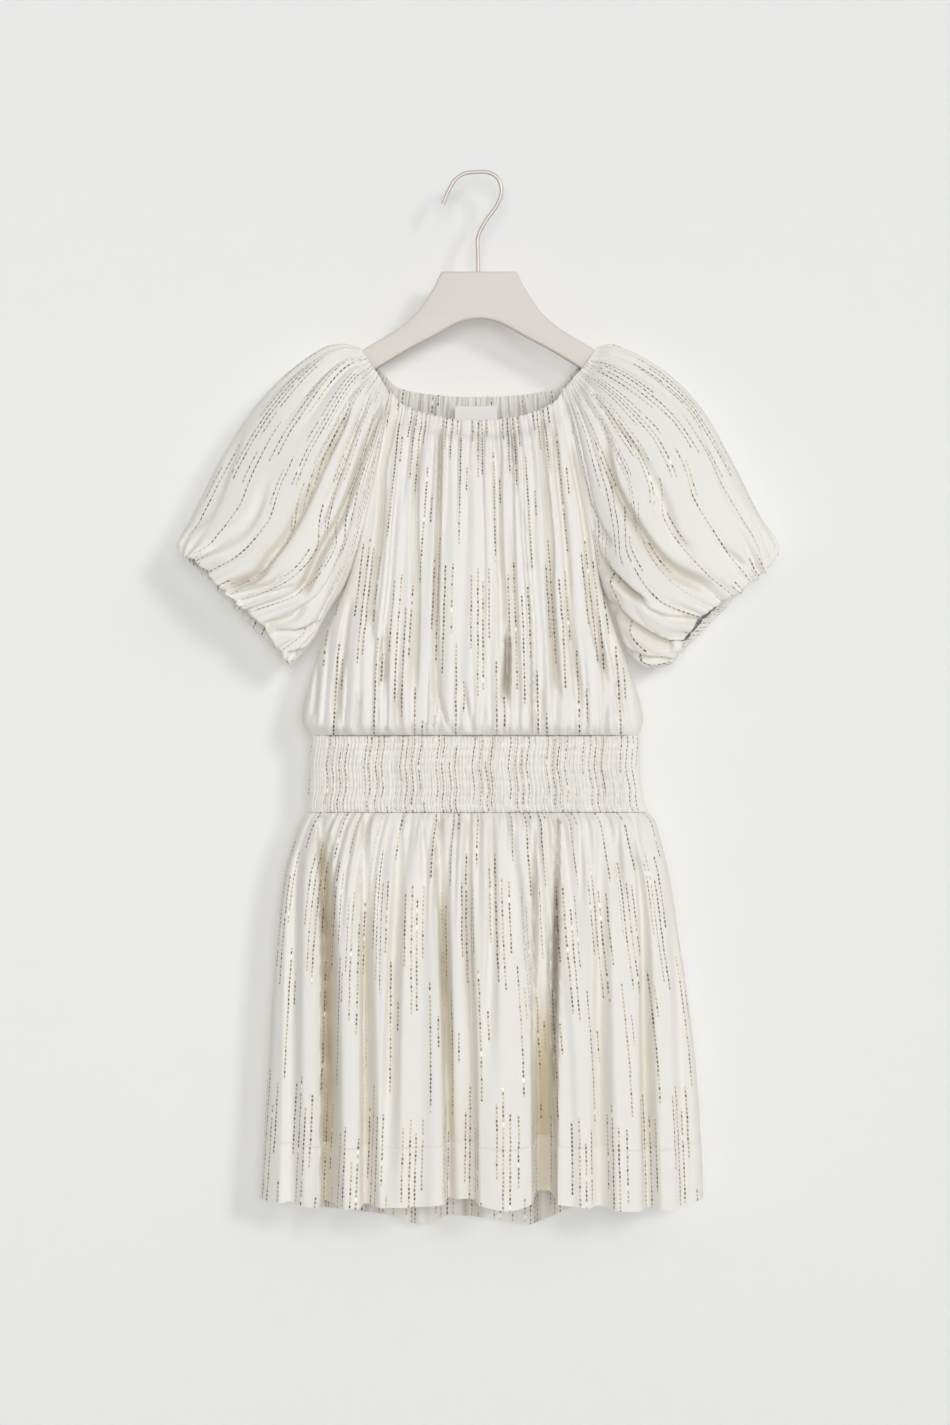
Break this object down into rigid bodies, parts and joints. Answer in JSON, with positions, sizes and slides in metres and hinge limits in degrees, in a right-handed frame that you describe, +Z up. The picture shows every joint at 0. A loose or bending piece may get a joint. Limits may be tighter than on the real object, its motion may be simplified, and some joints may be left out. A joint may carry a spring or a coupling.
{
  "type": "puff sleeve dress on a hanger",
  "caption": "Short dress with balloon raglan sleeves, a gathered neck, a shirred waist and a gathered skirt, hanging flat from a hooked hanger.",
  "frame": {"origin": "underside of the hanger hook's wire at the top of its bend, where the hook bears on what holds it, midway through its thickness", "axes": "+Z up; +X across the dress, to the right as seen from its front; -Y is the front"},
  "size_m": [0.5982, 0.0926, 1.057],
  "materials": {
    "crepe": "soft ivory crepe with dashed metallic warp stripes",
    "label_tape": "woven satin tape, bare",
    "hanger_board": "flat pinkish beige lacquer",
    "hook_wire": "satin beige coating on steel wire"
  },
  "bodies": {
    "root": {"bodice_front": "crepe", "bodice_back": "crepe", "waist_front": "crepe", "waist_back": "crepe", "skirt_front": "crepe", "skirt_back": "crepe", "sleeve_left": "crepe", "sleeve_right": "crepe", "neck_label": "label_tape", "size_tab": "label_tape", "hanger_body": "hanger_board", "hanger_hook": "hook_wire"}
  },
  "joints": []
}
